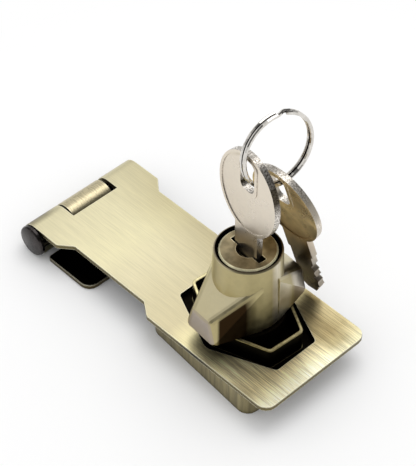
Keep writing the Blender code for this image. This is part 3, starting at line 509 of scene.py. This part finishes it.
def shaded_side_mask(material, place, out, sideways):
    """Where the near wing's side is painted in shade: below the arch, without its rounded corner."""
    reach = add(material, "Math", place["X"], operation="ABSOLUTE")
    reach = add(material, "Math", reach, CORNER_SLOPE, operation="MULTIPLY")
    corner = add(material, "Math", out, reach, operation="SUBTRACT")
    arch = add(material, "Math", out, -ARCH_SLOPE, operation="MULTIPLY")
    arch = add(material, "Math", arch, ARCH_SLOPE * WING_END + ARCH_TOP)
    height = add(material, "Math", place["Z"], arch, operation="SUBTRACT")
    return where_all(
        material,
        sideways,
        add(material, "MapRange", corner, 11.5 * MM, 10.4 * MM),
        add(material, "MapRange", height, 0.4 * MM, -1.2 * MM),
        add(material, "MapRange", out, 5.4 * MM, 8.4 * MM),
        add(material, "MapRange", place["Y"], 1 * MM, -1 * MM),
    )


def wing_colours(material, colour, place, facing, out):
    endways = add(material, "Math", facing["Y"], operation="ABSOLUTE")
    end = where_all(
        material,
        add(material, "MapRange", endways, 0.75, 0.95),
        add(material, "MapRange", out, WING_END - 1 * MM, WING_END),
    )
    sideways = add(material, "Math", facing["X"], operation="ABSOLUTE")
    sideways = add(material, "MapRange", sideways, 0.55, 0.72)
    shaded_side = shaded_side_mask(material, place, out, sideways)
    # The ends are painted greyer, as painted light, and the near side gets painted shade.
    for mask, shade in ((end, "A59A8E"), (shaded_side, "2C1F10")):
        colour = add(material, "Mix", mask, colour, linear(shade), data_type="RGBA")
    # The far wing's slanted shoulder is painted lighter than its upright side, as painted light.
    tilted = add(material, "MapRange", facing["Z"], 0.08, 0.2)
    facets = add(material, "Mix", tilted, linear("85765C"), linear("D8D0C0"), data_type="RGBA")
    far_side = where_all(
        material,
        sideways,
        add(material, "MapRange", out, 8.5 * MM, 10.5 * MM),
        add(material, "MapRange", place["Y"], -1 * MM, 1 * MM),
    )
    return add(material, "Mix", far_side, colour, facets, data_type="RGBA")


print("the dark side ends", ARCH_TOP / MM, "mm up at the wing's end")

# %% The rim and the groove in it, and the whole finish of the knob
def rim_colours(material, colour, place):
    distance = from_axis(material, place)
    rim = where_all(
        material,
        add(material, "MapRange", place["Z"], 36.8 * MM, 37.4 * MM),
        add(material, "MapRange", distance, 9.55 * MM, 9.35 * MM),
    )
    # The groove is painted black, as painted shade.
    groove = where_all(
        material,
        add(material, "MapRange", place["Z"], 33.5 * MM, 34 * MM),
        add(material, "MapRange", distance, 9.2 * MM, 9.12 * MM),
    )
    for mask, shade in ((rim, "7E735F"), (groove, "0D0A06")):
        colour = add(material, "Mix", mask, colour, linear(shade), data_type="RGBA")
    return colour


def knob_brass():
    """Satin brass with soft clouds about 2.5 mm across."""
    material, shader = new_metal("antique brass casting", 0.3)
    place, facing = place_and_facing(material)
    colour = facing_colour(material, facing, up="DAD0AE", side="B3A77C", under="17130C")
    out = add(material, "Math", place["Y"], operation="ABSOLUTE")
    colour = barrel_colours(material, colour, place, facing, out)
    colour = wing_colours(material, colour, place, facing, out)
    colour = rim_colours(material, colour, place)
    finish_brass(
        material,
        shader,
        colour,
        mottle(material, 2.5 * MM, 2.0),
        roughness=0.36,
        streak=0.05,
        patina_and_shade="17110A",
        reach=1.5 * MM,
        depth=0.006 * MM,
        # Only the gap round the plug has dark corners, partly patina and partly painted shade.
        undarkened=add(material, "MapRange", place["Z"], 36.6 * MM, 35.6 * MM),
    )
    return material


KNOB_BRASS = knob_brass()
say(KNOB_BRASS)

# %% [markdown]
# ## The plug
#
# The plug is the part that the key turns. It is turned on a lathe, so its face has broad clouds of
# tarnish and no belt marks. Its wall, down in the groove, is painted black, as painted shade. The
# bevel round the face gets a painted highlight: a pale line, for which the shader is made less
# metallic, which keeps the line pale from every side.

# %% The plug's finish
PLUG_BEVEL = 7.7 * MM


def plug_brass():
    """A brown, cloudy face inside one pale line of painted highlight."""
    material, shader = new_metal("turned antique brass", 0.34)
    place, facing = place_and_facing(material)
    colour = facing_colour(material, facing, up="908366", side="0D0A06", under="17130C")
    bevel = where_all(
        material,
        add(material, "MapRange", from_axis(material, place), PLUG_BEVEL, PLUG_BEVEL + 0.1 * MM),
        add(material, "MapRange", facing["Z"], 0.2, 0.45),
    )
    metallic = add(material, "MapRange", bevel, 0, 1, 1.0, 0.45)
    link(material, metallic, shader.inputs["Metallic"])
    finish_brass(
        material,
        shader,
        add(material, "Mix", bevel, colour, linear("F4EBC2"), data_type="RGBA"),
        mottle(material, 3.5 * MM),
        roughness=0.34,
        streak=0.3,
        patina_and_shade="0D0A06",
        edge="FFF6D0",
        reach=0.7 * MM,
        undarkened=bevel,
    )
    return material


PLUG_BRASS = plug_brass()
say(PLUG_BRASS)

# %% [markdown]
# ## The keys
#
# Cheap keys are blanked from nickel silver, a white alloy of copper with a slight warmth, and are
# tumbled until they are smooth. They have a satin gloss with faint marks in all directions, which
# noise without a direction gives. The blanking tool tears the edge a little, so the bow's edge is
# reeded in black and white, with painted shade where the edge turns. The spare key is older: brown
# where it hangs low and patchy on its front, partly tarnish and partly painted reflection and shade.

# %% A satin metal, for pieces that were tumbled, cast or plated
def satin_metal(name, light, shade, roughness, grain, depth):
    material, shader = new_metal(name, roughness)
    marks = mottle(material, grain, 5.0, 0.65)
    tone = add(material, "MapRange", marks, 0.35, 0.65)
    colour = add(material, "Mix", tone, linear(shade), linear(light), data_type="RGBA")
    link(material, colour, shader.inputs["Base Color"])
    rough = add(material, "MapRange", marks, 0.3, 0.7, roughness - 0.05, roughness + 0.06)
    link(material, rough, shader.inputs["Roughness"])
    link(material, add(material, "Bump", 0.3, depth, None, marks), shader.inputs["Normal"])
    return material


def base_colour(material):
    """The shader's colour input, and the colour that is joined to it so far."""
    shader_input = material.node_tree.nodes["Principled BSDF"].inputs["Base Color"]
    return shader_input, shader_input.links[0].from_socket


print("satin_metal makes the keys, the ring, the pin and the metals inside")

# %% The two keys
# Real reeds are about 0.1 mm apart; these are drawn coarser so that the render shows them.
REED = 0.4 * MM


def key_metal(name, stops):
    """Pale metal that changes along the key's height, with a reeded black and white edge."""
    material = satin_metal(name, "FFFFFF", "F6F6F6", 0.3, 4 * MM, 0.006 * MM)
    shader_input, satin = base_colour(material)
    place, facing = place_and_facing(material)
    colour = colours_along(material, place["Z"], stops)
    colour = add(material, "Mix", 1.0, colour, satin, data_type="RGBA", blend_type="MULTIPLY")
    reeds = add(material, "MapRange", mottle(material, REED, 2.0), 0.35, 0.65)
    reeded = add(material, "Mix", reeds, linear("7C766C"), linear("F2ECE4"), data_type="RGBA")
    # The edge is painted darkest where it turns from looking up to looking sideways, as painted
    # shade.
    turn = where_all(
        material,
        add(material, "MapRange", facing["Z"], 0.75, 0.5),
        add(material, "MapRange", facing["Z"], 0.0, 0.25),
    )
    reeded = add(
        material, "Mix", turn, reeded, linear("5A554C"), data_type="RGBA", blend_type="MULTIPLY"
    )
    frontways = add(material, "Math", facing["Y"], operation="ABSOLUTE")
    edge = where_all(
        material,
        add(material, "MapRange", frontways, 0.6, 0.45),
        add(material, "MapRange", place["Z"], 41 * MM, 44 * MM),
    )
    link(material, add(material, "Mix", edge, colour, reeded, data_type="RGBA"), shader_input)
    return material


def spare_metal():
    """The same metal, brown and patchy: partly tarnish, which also dulls its gloss, and partly
    painted reflection and shade.
    """
    stops = [(26 * MM, "3A2A16"), (38 * MM, "8E744A"), (48 * MM, "EBD5A6")]
    material = key_metal("tarnished nickel silver", stops)
    material.node_tree.nodes["Principled BSDF"].inputs["Metallic"].default_value = 0.78
    shader_input, undarkened = base_colour(material)
    # The brown and the patches are partly tarnish and partly a painted reflection of the brass.
    reflection_patches = add(material, "MapRange", mottle(material, 6 * MM, 2.0), 0.38, 0.62, 0.7, 1.25)
    tarnish_and_reflection = darken(material, undarkened, reflection_patches)
    facing = place_and_facing(material)[1]
    front = add(material, "MapRange", facing["Y"], 0.3, -0.3)
    colour = add(material, "Mix", front, linear("D9CFBE"), tarnish_and_reflection, data_type="RGBA")
    link(material, colour, shader_input)
    return material


KEY_METAL = key_metal("tumbled nickel silver", [(40 * MM, "E4D9C8"), (60 * MM, "EBE1D1")])
SPARE_METAL = spare_metal()
say(KEY_METAL)
say(SPARE_METAL)

# %% [markdown]
# ## The ring, the pin and the metals inside
#
# The split ring is hard steel wire with bright nickel on it, wound twice. The groove between its
# turns is painted black, as painted shade, and Ambient Occlusion with a short reach finds it. The
# pin is steel that was blackened in hot salts, which leaves it nearly black with a soft gloss.
# Inside the lock, springs, clips and screws are zinc plated and bluish, the housing is die-cast zinc
# with a fine dull grain, painted dark brown as painted shade inside the collar, and the wafers are
# stamped from yellow brass.

# %% The other metals
def ring_metal():
    """Bright nickel, painted black in the groove between the two turns as painted shade."""
    material = satin_metal("bright nickel plate", "E2DED8", "CCC8C1", 0.1, 2 * MM, 0.006 * MM)
    shader_input, plate = base_colour(material)
    shelter = add(material, "AmbientOcclusion", None, 1.2 * MM, samples=8).node.outputs["AO"]
    open_side = add(material, "MapRange", shelter, 0.55, 0.85)
    colour = add(material, "Mix", open_side, linear("0E0C0A"), plate, data_type="RGBA")
    link(material, colour, shader_input)
    return material


RING_METAL = ring_metal()
PIN_METAL = satin_metal("blackened steel", "474342", "322F2E", 0.26, 1.2 * MM, 0.015 * MM)
ZINC_PLATE = satin_metal("bright zinc plate", "C9CCD0", "B4B7BC", 0.28, 1.5 * MM, 0.01 * MM)
# The housing is painted dark brown, as painted shade inside the collar.
CAST_ZINC = satin_metal("cast zinc in painted shade", "241D13", "17120B", 0.45, 0.8 * MM, 0.03 * MM)
WAFER_BRASS = satin_metal("stamped brass", "D9BE7C", "C2A765", 0.3, 1 * MM, 0.01 * MM)
for metal in (RING_METAL, PIN_METAL, ZINC_PLATE, CAST_ZINC, WAFER_BRASS):
    say(metal)

# %% [markdown]
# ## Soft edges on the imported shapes
#
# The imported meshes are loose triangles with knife-sharp edges. A real edge is never that sharp: it
# is rounded by tumbling or brushing and catches a line of light. Each visible piece is copied, its
# doubled points are merged, its flat areas are joined into single faces, and a Bevel modifier
# rounds what is sharper than the limit. Each copy rides on the same body as the piece that it
# stands for.

# %% Make a soft-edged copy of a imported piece
FLAT_WITHIN = math.radians(0.6)


def soft_copy(node, name, material, edge, segments=2, limit=38, weld=0.002 * MM):
    """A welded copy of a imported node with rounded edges, riding on the node's own body."""
    source = frame["nodes"][node]
    mesh = source.data.copy()
    mesh.name = name
    shape = bmesh.new()
    shape.from_mesh(mesh)
    bmesh.ops.remove_doubles(shape, verts=shape.verts, dist=weld)
    bmesh.ops.dissolve_limit(
        shape, angle_limit=FLAT_WITHIN, verts=shape.verts, edges=shape.edges
    )
    shape.to_mesh(mesh)
    shape.free()
    mesh.materials.clear()
    mesh.materials.append(material)
    mesh.shade_smooth()
    mesh.set_sharp_from_angle(angle=math.radians(limit - 8))
    piece = bpy.data.objects.new(name, mesh)
    bpy.context.scene.collection.objects.link(piece)
    soften = piece.modifiers.new("soft edge", "BEVEL")
    soften.width = edge
    soften.segments = segments
    soften.limit_method = "ANGLE"
    soften.angle_limit = math.radians(limit)
    soften.harden_normals = True
    soften.use_clamp_overlap = True
    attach(piece, body_of(source)[0])
    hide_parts(node)
    print(name, "faces:", len(mesh.polygons))


soft_copy("hasp_strap", "brushed_strap", STRAP_BRASS, 0.2 * MM)
soft_copy("hinge_leaf", "folded_leaf", LEAF_BRASS, 0.2 * MM)
soft_copy("base_cover", "pressed_cover", COVER_BRASS, 0.15 * MM)
# The knob's faces meet at flat angles, and its wings leave slivers on the barrel.
soft_copy(
    "knob",
    "winged_knob",
    KNOB_BRASS,
    0.4 * MM,
    segments=3,
    limit=18,
    weld=0.04 * MM,
)
soft_copy("lock_plug", "plug_and_keyway", PLUG_BRASS, 0.1 * MM)
soft_copy("hinge_pin", "headed_pin", PIN_METAL, 0.15 * MM)
soft_copy("key", "key_in_plug", KEY_METAL, 0.15 * MM)
soft_copy("spare_key", "key_on_ring", SPARE_METAL, 0.15 * MM)

# %% [markdown]
# ## Pieces that stay as they are
#
# The split ring is round wire with no edge to soften, and the pieces inside the lock are hidden
# until it is taken apart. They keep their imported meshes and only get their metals.

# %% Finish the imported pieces
KEPT_PIECES = {
    "split_ring": RING_METAL,
    "lock_housing": CAST_ZINC,
    "back_plate": ZINC_PLATE,
    "back_plate_screw_1": ZINC_PLATE,
    "back_plate_screw_2": ZINC_PLATE,
    "knob_retaining_ring": ZINC_PLATE,
    "thrust_washer": ZINC_PLATE,
    "plug_retaining_clip": ZINC_PLATE,
    "locking_bolt": ZINC_PLATE,
}
for number in range(1, 6):
    KEPT_PIECES[f"wafer_{number}"] = WAFER_BRASS
    KEPT_PIECES[f"wafer_spring_{number}"] = ZINC_PLATE
for node, metal in KEPT_PIECES.items():
    mesh = frame["nodes"][node].data
    mesh.materials.clear()
    mesh.materials.append(metal)
print("packed pieces kept:", len(KEPT_PIECES))

# %% [markdown]
# ## The floor
#
# The lock is shown on white, as in a catalogue. A photographer rolls out white paper and lights it
# more than the object. Here the floor is pale paper near the lock, where it takes the soft shadow,
# and further out it turns into plain white light, so no horizon shows. The Light Path node gives
# that light to the camera and to reflections only, so it doesn't fall on the metal as a lamp would.

# %% A sheet of white paper that fades into white light
PAPER_HALF_SIZE = 3.0
PAPER_DROP = 0.05 * MM
WHITE_FROM, WHITE_TO = 0.085, 0.16


def pale_floor():
    mesh = bpy.data.meshes.new("floor")
    shape = bmesh.new()
    bmesh.ops.create_grid(shape, x_segments=1, y_segments=1, size=PAPER_HALF_SIZE)
    bmesh.ops.translate(shape, verts=shape.verts, vec=(0, 0, -PAPER_DROP))
    shape.to_mesh(mesh)
    shape.free()
    material = bpy.data.materials.new("white paper sweep")
    material.use_nodes = True
    shader = material.node_tree.nodes["Principled BSDF"]
    shader.inputs["Base Color"].default_value = linear("F7F7F7")
    shader.inputs["Roughness"].default_value = 0.9
    shader.inputs["Specular IOR Level"].default_value = 0.1
    place = add(material, "TexCoord").node.outputs["Object"]
    distance = add(material, "VectorMath", place, operation="LENGTH")
    far = add(material, "MapRange", distance, WHITE_FROM, WHITE_TO)
    rays = add(material, "LightPath").node.outputs
    seen = add(
        material, "Math", rays["Is Camera Ray"], rays["Is Glossy Ray"], operation="MAXIMUM"
    )
    seen = add(material, "Math", seen, rays["Is Transmission Ray"], operation="MAXIMUM")
    amount = add(material, "Math", far, seen, operation="MULTIPLY")
    glow = add(material, "Emission", (1, 1, 1, 1), 1.0)
    mixed = add(material, "MixShader", amount, shader.outputs["BSDF"], glow)
    link(material, mixed, material.node_tree.nodes["Material Output"].inputs["Surface"])
    mesh.materials.append(material)
    floor = bpy.data.objects.new("floor", mesh)
    bpy.context.scene.collection.objects.link(floor)
    print("floor: white from", WHITE_FROM / MM, "to", WHITE_TO / MM, "mm from the lock")


pale_floor()

# %% [markdown]
# ## The light
#
# Metal shows what it mirrors more than what lights it. A photographer hangs white panels round a
# dim room, and each panel shows in some of the faces. The world does the same here: a white
# horizon, a dim ceiling, and three panels, each a soft-edged disc of white round the way that it
# lies in. The strap's top mirrors the large one behind it, its front edges mirror the one in front,
# and edges that face the camera mirror the one overhead. Diffuse surfaces see plain even white, and
# one large soft lamp gives the shadow.

# %% The room that the metal mirrors
DIFFUSE_LEVEL = 0.88
HORIZON_LEVEL, CEILING_LEVEL = 1.0, 0.14
HORIZON_TOP, CEILING_START = 0.08, 0.30
# Each panel: which way it lies, the cosines of its faded and its full part, and its level.
PANELS = {
    "behind": ((-0.55, 0.45, 0.70), 0.76, 0.90, 0.88),
    "in front": ((-0.5, -0.66, 0.54), 0.86, 0.95, 0.95),
    "overhead": ((0.0, 0.0, 1.0), 0.93, 0.985, 0.9),
}


def studio_world():
    """White to the camera, an even light to diffuse surfaces, and the room to metal."""
    world = bpy.data.worlds.new("white studio")
    world.use_nodes = True
    way = add(world, "TexCoord").node.outputs["Generated"]
    height = add(world, "SeparateXYZ", way).node.outputs["Z"]
    room = add(
        world, "MapRange", height, CEILING_START, HORIZON_TOP, CEILING_LEVEL, HORIZON_LEVEL
    )
    for side, faded, full, level in PANELS.values():
        nearness = add(world, "VectorMath", way, Vector(side).normalized(), operation="DOT_PRODUCT")
        panel = add(world, "MapRange", nearness, faded, full, 0.0, level)
        room = add(world, "Math", room, panel, operation="MAXIMUM")
    rays = add(world, "LightPath").node.outputs
    mirrored = add(
        world, "Math", rays["Is Glossy Ray"], rays["Is Transmission Ray"], operation="MAXIMUM"
    )
    plain = add(world, "MapRange", rays["Is Camera Ray"], 0.0, 1.0, DIFFUSE_LEVEL, 1.0)
    level = add(world, "Mix", mirrored, plain, room)
    background = world.node_tree.nodes["Background"]
    background.inputs["Color"].default_value = (1, 1, 1, 1)
    link(world, level, background.inputs["Strength"])
    bpy.context.scene.world = world
    print("panels:", ", ".join(PANELS))


studio_world()

# %% One large soft lamp
def soft_lamp(name, place, target, size, watts):
    lamp = bpy.data.lights.new(name, "AREA")
    lamp.shape = "DISK"
    lamp.size = size
    lamp.energy = watts
    item = bpy.data.objects.new(name, lamp)
    item.location = place
    item.rotation_euler = (Vector(target) - Vector(place)).to_track_quat("-Z", "Y").to_euler()
    bpy.context.scene.collection.objects.link(item)
    print(name, "metres across:", size)


soft_lamp("overhead softbox", (-0.1, 0.25, 0.9), (-0.02, 0, 0.01), size=0.7, watts=2.3)

# %% [markdown]
# ## The camera
#
# The camera stands where the catalogue's camera stood: in front of the lock end, to the right and
# well above it, with a long lens. Its place was worked out from the corners of the hasp. The
# Standard view transform shows each colour as it is written.

# %% The camera
CAMERA_PLACE = Vector((0.22983, -0.23578, 0.38077))
CAMERA_AIM = Vector((-0.0315, 0.01513, 0.0100))
camera_data = bpy.data.cameras.new("camera")
camera_data.lens = 136.07
camera_data.sensor_width = 36
camera = bpy.data.objects.new("camera", camera_data)
camera.location = CAMERA_PLACE
camera.rotation_euler = (CAMERA_AIM - CAMERA_PLACE).to_track_quat("-Z", "Y").to_euler()
bpy.context.scene.collection.objects.link(camera)
bpy.context.scene.camera = camera
bpy.context.scene.view_settings.view_transform = "Standard"
print("camera distance in mm:", round((CAMERA_AIM - CAMERA_PLACE).length / MM))

# %% [markdown]
# ## The last update
#
# The view layer is updated once more, so that every piece stands where its body puts it.

# %% Update the view layer
bpy.context.view_layer.update()
